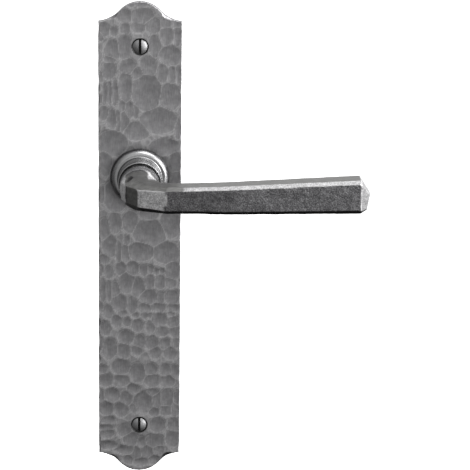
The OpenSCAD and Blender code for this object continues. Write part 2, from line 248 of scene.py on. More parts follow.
class Shader:
    """A metal or plain finish, built up from object-space noise."""

    def __init__(self, name, metallic=1.0):
        self.material = bpy.data.materials.new(name)
        self.material.use_nodes = True
        self.tree = self.material.node_tree
        self.base = self.tree.nodes["Principled BSDF"]
        self.base.inputs["Metallic"].default_value = metallic
        self.place = self.tree.nodes.new("ShaderNodeTexCoord").outputs["Object"]
        self.bump_height = None

    def add(self, kind, **settings):
        node = self.tree.nodes.new(kind)
        for key, value in settings.items():
            setattr(node, key, value)
        return node

    def link(self, source, target):
        self.tree.links.new(source, target)

    def scaled(self, x, y, z):
        node = self.add("ShaderNodeMapping")
        node.inputs["Scale"].default_value = (x, y, z)
        self.link(self.place, node.inputs["Vector"])
        return node.outputs[0]

    def noise(self, size, detail=4.0, vector=None, roughness=0.6, distortion=0.0):
        """Noise whose grains are about size metres across."""
        node = self.add("ShaderNodeTexNoise")
        node.inputs["Scale"].default_value = 1 / size
        node.inputs["Detail"].default_value = detail
        node.inputs["Roughness"].default_value = roughness
        node.inputs["Distortion"].default_value = distortion
        self.link(vector or self.place, node.inputs["Vector"])
        return node.outputs["Fac"]

    def ramp(self, value, low, high, out_low=0.0, out_high=1.0):
        node = self.add("ShaderNodeMapRange")
        node.inputs["From Min"].default_value = low
        node.inputs["From Max"].default_value = high
        node.inputs["To Min"].default_value = out_low
        node.inputs["To Max"].default_value = out_high
        self.link(value, node.inputs["Value"])
        return node.outputs[0]

    def colours(self, value, stops):
        node = self.add("ShaderNodeValToRGB")
        ramp = node.color_ramp
        while len(ramp.elements) < len(stops):
            ramp.elements.new(0.5)
        for element, (at, colour) in zip(ramp.elements, stops):
            element.position = at
            element.color = (*colour, 1)
        self.link(value, node.inputs["Fac"])
        return node.outputs["Color"]

    def mix(self, factor, a, b):
        node = self.add("ShaderNodeMix", data_type="RGBA")
        for source, target in ((factor, node.inputs[0]), (a, node.inputs[6]), (b, node.inputs[7])):
            if isinstance(source, tuple):
                target.default_value = (*source, 1)
            elif isinstance(source, (int, float)):
                target.default_value = source
            else:
                self.link(source, target)
        return node.outputs[2]

    def maths(self, operation, a, b):
        node = self.add("ShaderNodeMath", operation=operation)
        for source, target in ((a, node.inputs[0]), (b, node.inputs[1])):
            if isinstance(source, (int, float)):
                target.default_value = source
            else:
                self.link(source, target)
        return node.outputs[0]

    def attribute(self, name):
        return self.add("ShaderNodeAttribute", attribute_name=name).outputs["Fac"]

    def bump(self, height, distance, strength=1.0):
        """Adds a bump of the given height in metres on top of those before it."""
        node = self.add("ShaderNodeBump")
        node.inputs["Distance"].default_value = distance
        node.inputs["Strength"].default_value = strength
        self.link(height, node.inputs["Height"])
        if self.bump_height:
            self.link(self.bump_height, node.inputs["Normal"])
        self.bump_height = node.outputs[0]
        self.link(self.bump_height, self.base.inputs["Normal"])

    def set(self, colour, roughness):
        for source, target in ((colour, "Base Color"), (roughness, "Roughness")):
            if isinstance(source, tuple):
                self.base.inputs[target].default_value = (*source, 1)
            elif isinstance(source, (int, float)):
                self.base.inputs[target].default_value = source
            else:
                self.link(source, self.base.inputs[target])
        return self.material


def hammered_plate_material():
    """Grey steel plate: rubbed ridges between the dents, lighter both as rubbed polish and as a painted
    highlight, brushed and mottled hollows, and painted shade where the plate meets the collar and the
    screws.
    """
    s = Shader("hammered_plate")
    ridge = s.attribute("ridge")
    deep = s.attribute("dent")
    mottle = s.noise(2.6 * MM, 5, roughness=0.65)
    brushed = s.noise(0.9 * MM, 3, vector=s.scaled(1.6, 1, 0.22))
    grain = s.noise(0.35 * MM, 3)
    tone = s.maths("ADD", s.maths("MULTIPLY", mottle, 0.6), s.maths("MULTIPLY", brushed, 0.4))
    hollow = s.colours(tone, [(0.32, (0.270, 0.266, 0.275)), (0.5, (0.355, 0.351, 0.360)),
                              (0.68, (0.470, 0.466, 0.475))])
    # darker towards the bottom of each dent; on the rim's blow facets this darkening is painted shade
    darker = s.mix(s.ramp(deep, 0.1, 1.0, 0, 0.3), hollow, (0.24, 0.236, 0.244))
    # ridges, dent rims and flats lighter: rubbed polish and a painted highlight
    colour = s.mix(s.maths("MULTIPLY", ridge, 0.8), darker, (0.62, 0.615, 0.62))
    # painted shade: near black round the collar's foot and round the screw heads
    colour = s.mix(s.attribute("shade_and_dirt"), colour, (0.02, 0.02, 0.02))
    rough = s.maths("ADD", s.ramp(tone, 0.3, 0.7, 0.36, 0.46), s.maths("MULTIPLY", ridge, -0.05))
    s.bump(brushed, 0.10 * MM, 0.5)
    s.bump(grain, 0.04 * MM, 0.5)
    return s.set(colour, rough)


def forged_material():
    """Dark speckled forge finish, lighter and sandy where it was dressed, that lightness partly painted
    light, plain where it was rubbed, and painted shade inside the collar and under the neck.
    """
    s = Shader("forged_steel")
    light = s.attribute("light")
    rubbed = s.attribute("rubbed")
    edge = s.attribute("edge")
    speckle = s.noise(0.75 * MM, 4, roughness=0.7)
    mottle = s.noise(4 * MM, 3)
    streak = s.noise(1.1 * MM, 3, vector=s.scaled(0.3, 1, 1))
    tone = s.maths("ADD", s.maths("MULTIPLY", speckle, 0.75), s.maths("MULTIPLY", mottle, 0.25))
    dark = s.colours(tone, [(0.36, (0.045, 0.044, 0.046)), (0.5, (0.125, 0.123, 0.127)),
                            (0.66, (0.27, 0.267, 0.273))])
    bright = s.colours(tone, [(0.34, (0.26, 0.257, 0.262)), (0.5, (0.55, 0.547, 0.552)),
                              (0.66, (0.85, 0.846, 0.85))])
    plain = s.colours(streak, [(0.35, (0.20, 0.20, 0.195)), (0.65, (0.29, 0.288, 0.282))])
    # a lighter copy of the same speckle on the sandy faces: a real sandy finish and partly painted light
    colour = s.mix(light, dark, bright)
    colour = s.mix(rubbed, colour, plain)
    colour = s.mix(s.maths("MULTIPLY", edge, 0.7), colour, (0.75, 0.746, 0.75))
    # painted shade: near black on the parts that sit inside the collar, by their depth along Y
    split = s.add("ShaderNodeSeparateXYZ")
    s.link(s.place, split.inputs[0])
    root = s.ramp(split.outputs[1], -28.2 * MM, -27.9 * MM, 0, 0.35)
    mouth = s.ramp(split.outputs[1], -21 * MM, -17.8 * MM, 0, 0.6)
    shade_and_grime = s.maths("MAXIMUM", s.attribute("shade_and_dirt"), s.maths("ADD", root, mouth))
    colour = s.mix(shade_and_grime, colour, (0.02, 0.02, 0.02))
    rough = s.maths("SUBTRACT", s.ramp(tone, 0.35, 0.65, 0.52, 0.38), s.maths("MULTIPLY", rubbed, 0.06))
    pitted = s.maths("MULTIPLY", speckle, s.maths("SUBTRACT", 1.0, s.maths("MULTIPLY", rubbed, 0.85)))
    s.bump(pitted, 0.22 * MM, 0.75)
    s.link(s.ramp(light, 0, 1, 1.0, 0.45), s.base.inputs["Metallic"])
    return s.set(colour, rough)


def turned_material(name, colour_low, colour_high, roughness, line=0.22, depth=0.012):
    """Turned metal: fine rings round the Y axis, at different heights for each cut, and painted shade where
    a piece carries the mask.
    """
    s = Shader(name)
    split = s.add("ShaderNodeSeparateXYZ")
    s.link(s.place, split.inputs[0])
    radius = s.maths("SQRT", s.maths("ADD", s.maths("MULTIPLY", split.outputs[0], split.outputs[0]),
                                     s.maths("MULTIPLY", split.outputs[2], split.outputs[2])), 0)
    join = s.add("ShaderNodeCombineXYZ")
    s.link(radius, join.inputs[0])
    s.link(split.outputs[1], join.inputs[1])
    rings = s.noise(line * MM, 3, vector=join.outputs[0], roughness=0.7)
    bands = s.noise(line * 6 * MM, 2, vector=join.outputs[0])
    smear = s.noise(3 * MM, 3)
    tone = s.maths("ADD", s.maths("MULTIPLY", rings, 0.5),
                   s.maths("ADD", s.maths("MULTIPLY", bands, 0.3), s.maths("MULTIPLY", smear, 0.2)))
    colour = s.colours(tone, [(0.35, colour_low), (0.65, colour_high)])
    # painted shade and a painted dark reflection, from the piece's shade mask
    colour = s.mix(s.attribute("shade_and_dirt"), colour, (0.02, 0.02, 0.02))
    s.bump(rings, depth * MM, 0.8)
    s.base.inputs["Anisotropic"].default_value = 0.5
    tangent = s.add("ShaderNodeTangent", direction_type="RADIAL", axis="Y")
    s.link(tangent.outputs[0], s.base.inputs["Tangent"])
    return s.set(colour, s.ramp(smear, 0.3, 0.7, roughness - 0.04, roughness + 0.06))


def plain_metal(name, low, high, roughness, grain=0.5, depth=0.02, stretch=(1, 1, 1)):
    """Plated, drawn or cast metal with a fine grain, slight stains and painted shade where a piece has any.
    """
    s = Shader(name)
    fine = s.noise(grain * MM, 4, vector=s.scaled(*stretch), roughness=0.65)
    stain = s.noise(5 * MM, 4)
    tone = s.maths("ADD", s.maths("MULTIPLY", fine, 0.45), s.maths("MULTIPLY", stain, 0.55))
    s.bump(fine, depth * MM, 0.6)
    # painted shade from the piece's shade mask, such as the screw's slot
    colour = s.mix(s.attribute("shade_and_dirt"), s.colours(tone, [(0.35, low), (0.65, high)]), (0.02, 0.02, 0.02))
    return s.set(colour, s.ramp(tone, 0.35, 0.65, roughness + 0.08, roughness - 0.04))


def fibre_material():
    """Black vulcanised fibre: matt, with short pressed strands."""
    s = Shader("black_fibre", metallic=0.0)
    strands = s.noise(0.4 * MM, 5, distortion=1.5)
    s.bump(strands, 0.03 * MM, 0.6)
    return s.set(s.colours(strands, [(0.35, (0.012, 0.012, 0.012)), (0.7, (0.035, 0.034, 0.033))]),
                 s.ramp(strands, 0.3, 0.7, 0.62, 0.8))


MATERIALS = {
    "hammered_plate": hammered_plate_material(),
    "forged_steel": forged_material(),
    "turned_steel": turned_material("turned_steel", (0.34, 0.34, 0.345), (0.46, 0.46, 0.465), 0.25, 0.3,
                                    0.002),
    "screw_steel": plain_metal("screw_steel", (0.22, 0.22, 0.225), (0.42, 0.42, 0.425), 0.50, 0.5,
                               0.02, (1, 1, 0.25)),
    "bronze": turned_material("bronze", (0.42, 0.27, 0.12), (0.62, 0.43, 0.21), 0.38),
    "plated_steel": plain_metal("plated_steel", (0.48, 0.49, 0.50), (0.72, 0.73, 0.74), 0.30, 0.8),
    "bar_steel": plain_metal("bar_steel", (0.36, 0.365, 0.37), (0.60, 0.605, 0.61), 0.30, 0.4, 0.02,
                             (1, 0.08, 1)),
    "spring_steel": plain_metal("spring_steel", (0.10, 0.105, 0.12), (0.26, 0.265, 0.28), 0.34, 0.4),
    "black_steel": plain_metal("black_steel", (0.015, 0.015, 0.017), (0.05, 0.05, 0.053), 0.42, 0.4),
    "black_fibre": fibre_material(),
}


# ---------------------------------------------------------------- hammered backplate

# Large dents that give the plate its character, in millimetres from the spindle's axis:
# x, z, half width and half height. Shallow ones cover the face between them.
LARGE_DENTS = [
    (3.4, 44.1, 6.5, 8.7), (-7.2, 46.8, 3.2, 7.1), (-17.9, 43.3, 1.4, 5.5), (-15.4, 43.7, 1.2, 5.5),
    (-12.6, 43.7, 1.5, 5.9), (-19.6, 40.9, 1.7, 2.2), (-8.8, 36.7, 1.7, 3.2),
    (-5.5, 34.9, 2.4, 4.1), (-2.3, 33.6, 1.5, 3.2), (-13.7, 30.1, 2.7, 4.7), (-11, 29.3, 1.7, 5.5),
    (-8, 29.3, 2.3, 5.4), (-18.4, 33.3, 2.4, 3.6), (9.6, 29.4, 8.5, 6.2), (-1.7, 24, 5.7, 4.3),
    (-13.7, 17.6, 6.7, 5.9), (12.7, 16.1, 7.6, 3.6), (19.3, 25.5, 1.8, 5.1), (15.2, 41.9, 5, 6.5),
    (-6.1, 57.2, 3.8, 3.9), (-1.6, 54, 3.2, 3), (4.1, 57.7, 3.8, 4.9), (-15.6, 55.2, 3.4, 4.1),
    (-19.6, 52.1, 1.1, 2.8), (15.9, 53.3, 2, 4.3), (11.3, 54.2, 2.6, 4.7), (19.3, 53.5, 1.5, 4.3),
    (15.1, 62.9, 5, 4.9), (-13.7, 65.6, 3.8, 4.7), (-8, 67.2, 3.4, 5.9), (7.3, 67.7, 2.7, 5.4),
    (13.3, 73.1, 3, 4.9), (18.4, 73.1, 2, 5.1), (-0.8, 77, 3.4, 2.5), (-7.5, 76.4, 2.4, 3),
    (-13.1, 75, 2.1, 2.4), (-17.6, 76.3, 2.9, 3.8), (-19.6, 72.5, 1.4, 2.4), (1, 82.9, 5.7, 3.9),
    (6.7, 78.4, 3.8, 3.9), (12.7, 79.2, 2.6, 2.8), (18, 79.6, 2.4, 2.8), (1, 88.8, 3.8, 1.4),
    (-4.6, 88.6, 1.9, 1.2), (-7.3, 82.9, 3.8, 3.3), (-15.2, 60.6, 2.7, 2), (-12.6, -23.8, 3.2, 5.2),
    (-4.9, -23.2, 3.7, 5.2), (5.2, -28.9, 8, 6.3), (15.6, -24.5, 5, 6.7), (4.8, -19.3, 4.7, 3.2),
    (-18, -27, 3, 5.1), (-15.1, -35.8, 3.4, 5.5), (-10.8, -39, 1.7, 5.5), (-7.2, -40.1, 2.1, 4.3),
    (-6.6, -32.9, 1.5, 2.4), (0.6, -38.9, 6.1, 4.7), (13.7, -39.5, 5.9, 5.4), (16.9, -49, 3.4, 5.1),
    (-18, -43, 2.7, 2.4), (-15.7, -49.7, 2.5, 3.3), (-19.8, -49, 1.1, 3.2), (-9.9, -47.8, 2.7, 3.3),
    (-3.7, -47.8, 3, 3.6), (-6.4, -55.6, 4, 4.9), (-1, -57.9, 3.7, 4.7), (1.9, -48.6, 2.1, 3),
    (5.6, -48.6, 1.5, 2), (8.7, -49.8, 1.7, 1.4), (11.5, -49.4, 1.4, 1.4), (5.3, -55, 2.5, 3.6),
    (10.7, -55.3, 2.5, 3.6), (15.8, -55.4, 2.9, 2.8), (-18.8, -59.5, 1.9, 5.9),
    (-15.7, -59.9, 1.5, 5.4), (-12.4, -59.5, 2.1, 4.1), (-10.1, -66.2, 3.8, 4.4),
    (-3.8, -67.2, 2.6, 4.3), (4.5, -63.1, 4.2, 3.6), (10.7, -63.4, 1.8, 3.3),
    (16.7, -63.3, 3.5, 3.7), (2.6, -69.2, 3.2, 2.5), (9.6, -68.8, 3.4, 2.4),
    (17.2, -69.2, 3.2, 2.2), (-16.1, -71, 2.4, 3.6), (-19.8, -68.4, 1.1, 2.8),
    (-8.7, -71.7, 2.1, 1.7), (-2.1, -73.3, 1.9, 1.4), (2.6, -73.3, 1.7, 1.6),
    (5.3, -73.3, 0.9, 1.4), (10.4, -75.3, 3.7, 3.5), (16.6, -72.5, 2, 1.3), (17.4, -76.7, 2.9, 2.8),
    (-11.8, -76.2, 2.7, 3), (-6.3, -77, 2.1, 2.2), (-0.9, -78.6, 2.6, 3.3), (5.5, -79.4, 2.1, 3.2),
    (-17.9, -80, 2.9, 3.6), (11.4, -81.9, 3.2, 2.5), (17.9, -82.1, 2.7, 2.7), (-7, -85.2, 3.7, 3.5),
    (-0.1, -87.2, 2.7, 3.6), (6.4, -88, 3.2, 3.6), (13, -88.4, 2.6, 3), (18.7, -88, 2, 2.8),
    (-19.9, -88.4, 1.4, 3.6), (-15.6, -91.1, 3.5, 5.2), (-8.1, -92, 3, 4.4),
    (-1.3, -91.7, 2.6, 2.8), (8.1, -93.1, 3, 3.3), (16, -93.4, 3.2, 3.2), (-9.5, -100.9, 4.6, 3.8),
    (-1.2, -104.2, 3.7, 4.9), (6, -102, 3, 2.8), (13.3, -102.5, 2.7, 3.3), (18.4, -103.5, 2.1, 3.3),
    (-18.9, -102.3, 2.3, 2.2), (-17.3, -108.1, 3.7, 3.3), (-9.5, -108.5, 4, 3),
    (6.6, -108.7, 3.8, 3.3), (14.5, -108.9, 3.8, 3), (-3.2, -113, 3, 2.5),
    (-14.2, -116.1, 3.7, 3.3), (-19.7, -116.4, 1.4, 3.2), (-6.7, -118, 3.2, 3.8),
    (1.9, -120.5, 4.6, 5.1), (7, -115.1, 2.7, 2), (9.4, -119.3, 2.7, 3.9), (14.5, -118.4, 3.4, 5.1),
    (19.3, -118.5, 1.7, 3.9), (-17.4, -123.6, 3.7, 3.6), (-9.5, -124.1, 3.4, 3.8),
    (-2.8, -123.6, 2.1, 2.2), (7.9, -125.5, 3, 2.4), (13.8, -124.3, 3, 3.2),
    (18.5, -124.3, 2.3, 3.9), (-15.8, -130.1, 3, 2.4), (9.5, -132.6, 3.8, 3.9),
    (18.2, -133, 3, 3.9), (-17.4, -134.3, 3.8, 1.7), (-16.6, -137.6, 3.4, 2.4),
    (-7.9, -135.9, 3.4, 3.2), (-4.3, -140.6, 3.8, 3.6), (1.2, -142.2, 2.3, 2.8),
    (8.3, -141.8, 4.2, 3.6), (17.4, -140.2, 3.4, 4.7), (-16.2, -143.9, 4.2, 2),
    (-7.1, -146.4, 4.6, 2.4), (-1.2, -148.5, 3, 3.6), (4, -147.7, 3.4, 3.6), (9.9, -146.5, 3, 2.8),
    (1.2, -152.8, 4.6, 2.4), (-5.1, -151.9, 3, 2.4), (7.6, -151.9, 3.8, 2.4), (-17.5, 8, 3, 6.5),
    (-12.3, -9.4, 5.6, 7.8), (-19.2, -9, 2, 4.2), (18, 8.5, 3, 5), (18.5, -3, 2.5, 6),
    (17.5, -13.5, 3.2, 5),
]


def fill_dents(draw):
    """Shallow dents on a jittered grid that cover the face between the large ones."""
    found = []
    row = 0
    z = 92.0
    while z > -162:
        step = 6.4 if z > 0 else 5.6
        x = -24 + (row % 2) * step / 2
        while x < 24:
            at_x = x + draw.uniform(-0.3, 0.3) * step
            at_z = z + draw.uniform(-0.3, 0.3) * step
            found.append((at_x, at_z, step * draw.uniform(0.75, 1.1), step * draw.uniform(0.75, 1.1)))
            x += step
        z -= step * 0.88
        row += 1
    return found


def carve(co, centre, radius):
    """Pushes the points inside a ball out to its surface, as a blow with a round face does."""
    offset = co - centre
    distance = np.sqrt((offset**2).sum(1))
    inside = distance < radius
    co[inside] = centre + offset[inside] * (radius / distance[inside])[:, None]


def hammer_front(co, draw):
    """Sinks the dents into the face. Returns how near each point is to a ridge and how deep it lies."""
    x = co[:, 0] / MM + 0.3 * value_noise(co, 4 * MM, 11) + 0.12 * value_noise(co, 1.5 * MM, 13)
    z = co[:, 2] / MM + 0.3 * value_noise(co, 4 * MM, 12) + 0.12 * value_noise(co, 1.5 * MM, 14)
    lowest, fill_above, spread = -0.25, 0.38, 1.17
    first = np.full(len(co), lowest)
    second = np.full(len(co), lowest)
    strikes = [(*dent, 0.0) for dent in LARGE_DENTS] + [(*dent, fill_above) for dent in fill_dents(draw)]
    for dent_x, dent_z, half_w, half_h, above in strikes:
        depth = (0.05 * math.sqrt(half_w * half_h) + 0.055) * draw.uniform(0.85, 1.15)
        near = (abs(x - dent_x) < 2 * half_w) & (abs(z - dent_z) < 2 * half_h)
        u = (x[near] - dent_x) / (spread * half_w)
        v = (z[near] - dent_z) / (spread * half_h)
        sunk = depth * (1 - u * u - v * v) - above
        second[near] = np.maximum(second[near], np.minimum(first[near], sunk))
        first[near] = np.maximum(first[near], sunk)
    reach = np.clip((PLATE_FACE + 0.5 * MM - co[:, 1]) / (0.5 * MM), 0, 1)
    fine = 0.02 * fractal(co * (1, 1, 0.4), 2.2 * MM, 31) + 0.012 * value_noise(co, 0.9 * MM, 34)
    rounded = 0.015 * np.clip(1 - (first - second) / 0.06, 0, 1) ** 2
    # the face is only ever lowered, so it stays inside the CAD plate
    sink = 0.2 + first + rounded + fine
    co[:, 1] += np.clip(sink, 0.005, None) * MM * reach
    # ridge lines, dent rims and flats, which the material paints lighter as rubbed polish and a painted
    # highlight
    ridge = 1 - smooth_step(first - second, 0.0, 0.05)
    rim = 0.9 * (1 - smooth_step(abs(first - 0.005), 0.0, 0.03))
    flat = 0.2 * (1 - smooth_step(first, -0.02, 0.05))
    ridge = np.maximum.reduce([ridge, rim, flat])
    front = smooth_step(reach, 0.2, 0.8)
    return ridge * front, np.clip(first / 0.4, 0, 1) * front


def rim_blows(draw):
    """Balls that dress the plate's rim: short facets on its front edge and a slight waviness."""
    blows = []
    half_w = PLATE_HALF_W / MM
    low, high = PLATE_LOW.z / MM + 12, PLATE_HIGH.z / MM - 12
    face = PLATE_FACE / MM
    for side in (-1, 1):
        z = low
        while z < high:
            radius = draw.uniform(5, 11)
            depth = draw.uniform(0.25, 0.85) if side < 0 else draw.uniform(0.15, 0.6)
            way = 0.72 * (radius - depth)
            blows.append((side * (half_w + way), face - way, z, radius))
            z += draw.uniform(5, 9)
        z = low
        while z < high:
            radius = draw.uniform(25, 60)
            blows.append((side * (half_w + radius - draw.uniform(0.08, 0.3)), face / 2, z, radius))
            z += draw.uniform(9, 18)
    return blows


def end_blows(draw):
    """Blows on the front edge of the two shaped ends."""
    blows = []
    face = PLATE_FACE / MM
    for tip, way in ((PLATE_HIGH.z / MM, 1), (PLATE_LOW.z / MM, -1)):
        for degrees in range(-60, 61, 20):
            a = math.radians(degrees + draw.uniform(-5, 5))
            radius = draw.uniform(5, 8)
            reach = 13.5 + 0.72 * (radius - draw.uniform(0.3, 0.75))
            blows.append((reach * math.sin(a), face - 0.72 * (radius - 0.4),
                          tip - way * 13.5 + way * reach * math.cos(a), radius))
    return blows


def make_backplate():
    """The plate: hammered in front, its rim dressed by blows, with painted shade on the blow facets and
    round the collar and the screws.
    """
    draw = np.random.RandomState(7)
    mesh = remeshed("backplate", 0.5 * MM)
    co = coordinates(mesh)
    low, high = co.min(0), co.max(0)
    ridge, deep = hammer_front(co, draw)
    blow_depth = np.zeros(len(co))
    for x, y, z, radius in rim_blows(draw) + end_blows(draw):
        before = co.copy()
        carve(co, np.array((x, y, z)) * MM, radius * MM)
        blow_depth = np.maximum(blow_depth, np.sqrt(((co - before) ** 2).sum(1)) / MM)
    co = np.clip(co, low, high)
    set_coordinates(mesh, co)
    # painted shade: the rim's blow facets are drawn darker and lose the ridges' painted highlight
    cut = smooth_step(blow_depth, 0.02, 0.12)
    set_attribute(mesh, "ridge", ridge * (1 - cut))
    set_attribute(mesh, "dent", np.maximum(deep, cut * 0.9))
    # painted shade round the collar's foot and in a ring round each screw head, where the parts meet
    from_axis = np.hypot(co[:, 0], co[:, 2]) / MM
    shade_and_dirt = 0.4 * (1 - smooth_step(from_axis, 15.2, 19)) + 0.3 * (1 - smooth_step(from_axis, 14.8, 15.3))
    for node in SCREWS:
        from_screw = np.hypot(co[:, 0], co[:, 2] - screw_height(node)) / MM
        ring = node_size(node).x / 2 / MM + 0.5
        shade_and_dirt = np.maximum(shade_and_dirt, 1 - smooth_step(from_screw, ring, ring + 0.4))
    set_attribute(mesh, "shade_and_dirt", shade_and_dirt)
    plate = new_object("hammered_backplate", mesh, MATERIALS["hammered_plate"])
    return stand_in(plate, "root", "hammered_plate", "backplate")


# ---------------------------------------------------------------- forged lever

# Hollows left by single blows on the neck: x, distance from the door, z and radius, in millimetres.
NECK_BLOWS = [(13.2, 32, 11.5, 9.5), (-8.4, 38, 11.5, 6.2)]
# Middle of the hollow that the second of them leaves, which is drawn darker, in the frame's millimetres.
HOLLOW = np.array((-5.5, -37, 7.5))


def make_lever():
    """The forged arm: crisp but uneven facets, pitted by the forge."""
    mesh = remeshed("lever_arm", 0.34 * MM)
    co = coordinates(mesh)
    low, high = ARM_LOW, ARM_HIGH
    for x, out, z, radius in NECK_BLOWS:
        carve(co, np.array((x, -out, z)) * MM, radius * MM)
    set_coordinates(mesh, co)
    no = normals(mesh)
    x, out = co[:, 0] / MM, -co[:, 1] / MM
    # broad hammer marks, then pits
    rubbed = rubbed_faces(x, out, no, co)
    marks = 0.13 * fractal(co, 6 * MM, 51) + 0.05 * value_noise(co, 1.8 * MM, 55) * (1 - rubbed)
    pits = -0.06 * np.clip(fractal(co, 0.9 * MM, 61) - 0.1, 0, 1) * (1 - rubbed)
    root = smooth_step(out, 28.2, 31)
    co = co + no * ((marks + pits) * root * MM)[:, None]
    co = np.clip(co, np.array(low), np.array(high))
    set_coordinates(mesh, co)
    edge = edge_wear(mesh, co, no)
    knee = smooth_step(x, -2.2, -1.4) * (1 - smooth_step(x, 11, 13.5))
    end = smooth_step(x, high.x / MM - 6.5, high.x / MM - 5.5)
    upper = smooth_step(co[:, 2] / MM, 2, 4)
    # darker in the middle of the second hollow and along the upper edges of the grip; painted shade on the
    # faces turned down under the neck
    hollow = np.sqrt(((co / MM - HOLLOW) ** 2).sum(1))
    under = smooth_step(-no[:, 2], 0.2, 0.5) * smooth_step(out, 36, 41)
    shade_and_dirt = [0.8 * (1 - smooth_step(hollow, 1.4, 2.9)), 0.6 * under,
            0.6 * edge * upper * (1 - knee) * (1 - end) * smooth_step(out, 40, 44)]
    # the sandy faces are picked partly by which way they face, so their lighter colour is partly painted
    # light
    set_attribute(mesh, "light", sandy_lit_faces(x, out, no, co) * (1 - rubbed))
    set_attribute(mesh, "rubbed", rubbed)
    set_attribute(mesh, "edge", edge * np.maximum(knee * upper * smooth_step(out, 44, 48), end))
    set_attribute(mesh, "shade_and_dirt", np.maximum.reduce(shade_and_dirt))
    arm = new_object("forged_lever", mesh, MATERIALS["forged_steel"])
    return stand_in(arm, "lever", "forged_steel", "lever_arm")


def rubbed_faces(x, out, no, co):
    """The plain faces: the top of the neck and the grip, and the facet left of the knee."""
    wander = 0.7 * value_noise(co, 3 * MM, 73)
    cheek = smooth_step(x + wander, 3.0, 4.2) * (1 - smooth_step(x + wander, 9.5, 11))
    cheek *= 1 - smooth_step(out, 38, 42)
    level = 0.72 + 0.2 * smooth_step(x, 14, 24)
    top = smooth_step(no[:, 2] - level, 0, 0.06) * (1 - cheek) * smooth_step(out, 29.5, 31)
    facet = smooth_step(x + 0.4 * wander, -6.6, -6.0) * (1 - smooth_step(x + 0.4 * wander, -1.6, -1.0))
    facet *= smooth_step(out, 38, 41) * smooth_step(-no[:, 1], 0.2, 0.45)
    return np.clip(np.maximum(top, facet), 0, 1)


def sandy_lit_faces(x, out, no, co):
    """The light, sandy faces: top bevel, blows on the neck, knee, left side and tip. Their lightness is
    partly painted light, picked by the way each face turns.
    """
    wander = 0.9 * value_noise(co, 3 * MM, 71)
    front = smooth_step(-no[:, 1], 0.55, 0.8)
    knee = smooth_step(x + 0.5 * wander, -1.7, -1.1) * (1 - smooth_step(x + wander, 11.6, 13.2)) * front
    side = smooth_step(-no[:, 0], 0.2, 0.45) * (1 - smooth_step(out, 47, 50))
    side *= 1 - smooth_step(x + 0.3 * wander, -7.6, -6.6)
    cheek = smooth_step(x + wander, 2.5, 4) * (1 - smooth_step(out + wander, 42, 45))
    cheek *= smooth_step(no[:, 0] + no[:, 2], 0.2, 0.5)
    bevel = smooth_step(no[:, 2], 0.3, 0.5) * smooth_step(-no[:, 1], 0.12, 0.25)
    bevel *= smooth_step(x + wander, 14, 24)
    tip = smooth_step(x + 0.3 * wander, ARM_HIGH.x / MM - 5.6, ARM_HIGH.x / MM - 4.6)
    found = np.maximum.reduce([knee, side, cheek, 0.8 * bevel, 0.6 * tip])
    return np.clip(found, 0, 1)


def edge_wear(mesh, co, no):
    """Bright along convex edges: where the surface round a point falls away behind it."""
    edges = np.empty(len(mesh.edges) * 2, np.int64)
    mesh.edges.foreach_get("vertices", edges)
    edges = edges.reshape(-1, 2)
    apart = co[edges[:, 1]] - co[edges[:, 0]]
    length = np.sqrt((apart**2).sum(1)) + 1e-12
    bend = ((no[edges[:, 1]] - no[edges[:, 0]]) * apart).sum(1) / length**2
    total = np.zeros(len(co))
    count = np.zeros(len(co))
    for end in (0, 1):
        np.add.at(total, edges[:, end], bend)
        np.add.at(count, edges[:, end], 1)
    curve = total / np.maximum(count, 1) * MM
    for _ in range(2):
        spread = np.zeros(len(co))
        np.add.at(spread, edges[:, 0], curve[edges[:, 1]])
        np.add.at(spread, edges[:, 1], curve[edges[:, 0]])
        curve = 0.5 * curve + 0.5 * spread / np.maximum(count, 1)
    return smooth_step(curve, 0.25, 0.7)


# ---------------------------------------------------------------- turned pieces

def make_collar():
    """The polished collar: a low moulded foot, a plain tube and a thin lip round the hub's root."""
    face = PLATE_FACE / MM
    mouth = COLLAR_MOUTH / MM
    back = COLLAR_HIGH.y / MM
    foot_r = COLLAR_R / MM
    bore_r = node_size("front_bush").x / 2 / MM
    tube_r = bore_r + 1.8
    recess_r = node_size("drive_ring").x / 2 / MM + 0.4
    lip_r = tube_r - 0.5
    floor = mouth + 1
    foot_h, fillet = 2.6, 0.8
    bead_r = tube_r + fillet
    profile = [(recess_r, back), (recess_r, back - 2.2), (bore_r, back - 2.2), (bore_r, floor)]
    profile += [(lip_r, floor)] + arc((lip_r + 0.12, mouth + 0.12), 0.12, 180, 270, 3)
    profile += arc((tube_r - 0.3, mouth + 0.3), 0.3, 270, 360, 6)
    profile += [(tube_r, mouth + 1 + 1.5 * i) for i in range(6)]
    profile += arc((bead_r, face - foot_h - fillet), fillet, 180, 90, 8)[:-1]
    for i in range(19):
        a = math.radians(90 - 5 * i)
        profile.append((bead_r + (foot_r - bead_r) * math.cos(a), face - foot_h * math.sin(a)))
    profile += [(foot_r, back)]
    collar = lathe("turned_collar", [(r * MM, y * MM) for r, y in profile], 144,
                   MATERIALS["turned_steel"])
    # painted shade in the bore and round the lip, and a painted dark reflection on the tube
    co = coordinates(collar.data) / MM
    radius = np.hypot(co[:, 0], co[:, 2])
    tube = (radius < tube_r + 0.3) & (co[:, 1] > mouth + 0.5) & (co[:, 1] < face - foot_h)
    inside = radius < lip_r + 0.05
    set_attribute(collar.data, "shade_and_dirt", np.where(inside, 0.9, np.where(tube, 0.55, 0.0)))
    return stand_in(collar, "root", "turned_steel", "collar")


